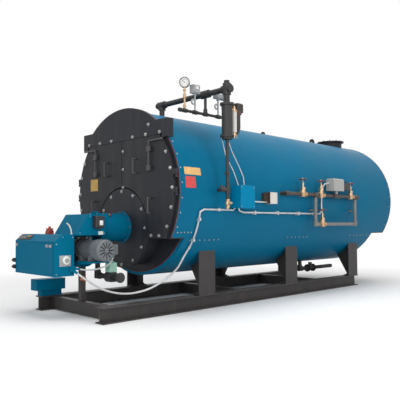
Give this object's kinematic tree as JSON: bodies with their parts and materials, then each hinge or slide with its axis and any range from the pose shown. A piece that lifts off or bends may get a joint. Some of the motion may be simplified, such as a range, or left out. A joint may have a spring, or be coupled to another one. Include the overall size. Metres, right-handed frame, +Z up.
{
  "type": "industrial fire-tube boiler",
  "caption": "Horizontal fire-tube boiler on a skid, with a hinged smokebox front, gun burner, water column, pressure controls and feedwater valves.",
  "frame": {"origin": "centre of the bounding box at floor level, under the skid", "axes": "+Z up, +Y along the shell from the burner end to the rear end, +X to the side with the water column"},
  "size_m": [2.2318, 5.959, 2.712],
  "materials": {
    "actuator_green": "mint green",
    "box_blue": "bright blue",
    "brass": "cast brass",
    "burner_blue": "gloss blue enamel",
    "conduit_steel": "galvanised",
    "device_black": "black",
    "device_grey": "light grey",
    "device_white": "off-white",
    "glass_fittings": "brass and glass",
    "jacket_blue": "semi-gloss medium blue paint",
    "motor_grey": "grey enamel",
    "pipe_black": "black pipe",
    "skid_paint": "dark grey brown paint, worn",
    "smokebox_black": "satin black paint",
    "switch_red": "red",
    "wheel_black": "black"
  },
  "bodies": {
    "boiler": {"air_switch": "switch_red", "auxiliary_cutoff": "device_black", "blowdown_pipe": "pipe_black", "blowdown_valve": "pipe_black", "blower_hood": "burner_blue", "blower_housing": "burner_blue", "burner_barrel": "burner_blue", "burner_cabinet": "burner_blue", "burner_conduit": "conduit_steel", "burner_motor": "motor_grey", "burner_plate": "smokebox_black", "burner_post": "skid_paint", "column_drain": "pipe_black", "control_manifold": "pipe_black", "drain_valve": "brass", "equalising_pipe": "pipe_black", "feed_pipes": "pipe_black", "feed_regulator": "device_white", "feed_valves": "brass", "front_flange": "smokebox_black", "front_head": "smokebox_black", "front_smokebox_floor": "smokebox_black", "front_tube_sheet": "smokebox_black", "furnace_collar": "smokebox_black", "gas_actuator": "actuator_green", "gas_pipe": "pipe_black", "gas_valve": "device_black", "gauge_glass": "glass_fittings", "glass_guard": "device_white", "ignition_box": "device_black", "jacket": "jacket_blue", "junction_box": "box_blue", "level_transmitter": "device_white", "lifting_lugs": "smokebox_black", "motor_conduit": "conduit_steel", "motor_fan_cover": "motor_grey", "motor_shelf": "burner_blue", "motor_terminal_box": "motor_grey", "pedestal_box": "burner_blue", "pressure_controls": "device_grey", "pressure_gauge": "device_grey", "rear_door": "smokebox_black", "rear_flange": "smokebox_black", "rear_smokebox_floor": "smokebox_black", "rear_tube_sheet": "smokebox_black", "saddle_front": "skid_paint", "saddle_middle": "skid_paint", "saddle_rear": "skid_paint", "side_conduit": "conduit_steel", "skid_cross_members": "skid_paint", "skid_rail_left": "skid_paint", "skid_rail_right": "skid_paint", "stack_outlet": "smokebox_black", "water_column": "pipe_black"},
    "front_door_left": {"front_door_left": "smokebox_black"},
    "front_door_right": {"front_door_right": "smokebox_black"},
    "front_valve_wheel": {"front_valve_wheel": "wheel_black"},
    "rear_valve_wheel": {"rear_valve_wheel": "wheel_black"},
    "bypass_valve_wheel": {"bypass_valve_wheel": "wheel_black"},
    "outlet_valve_wheel": {"outlet_valve_wheel": "wheel_black"}
  },
  "joints": [
    {"name": "left_door_hinge", "type": "hinge", "parent": "boiler", "child": "front_door_left", "pos_m": [-1.091, -1.9535, 1.45], "axis": [0, 0, -1], "range_deg": [0, 100]},
    {"name": "right_door_hinge", "type": "hinge", "parent": "boiler", "child": "front_door_right", "pos_m": [0.859, -1.9535, 1.45], "axis": [0, 0, 1], "range_deg": [0, 100]},
    {"name": "front_valve_stem", "type": "hinge", "parent": "boiler", "child": "front_valve_wheel", "pos_m": [0.969, 0.2395, 1.615], "axis": [0, 0, 1], "range_deg": [0, 1080]},
    {"name": "rear_valve_stem", "type": "hinge", "parent": "boiler", "child": "rear_valve_wheel", "pos_m": [0.969, 0.6785, 1.615], "axis": [0, 0, 1], "range_deg": [0, 1080]},
    {"name": "outlet_valve_stem", "type": "hinge", "parent": "boiler", "child": "outlet_valve_wheel", "pos_m": [0.969, 1.4715, 1.615], "axis": [0, 0, 1], "range_deg": [0, 1080]},
    {"name": "bypass_valve_stem", "type": "hinge", "parent": "boiler", "child": "bypass_valve_wheel", "pos_m": [0.969, 0.7025, 1.208], "axis": [0, 0, 1], "range_deg": [0, 1080]}
  ]
}
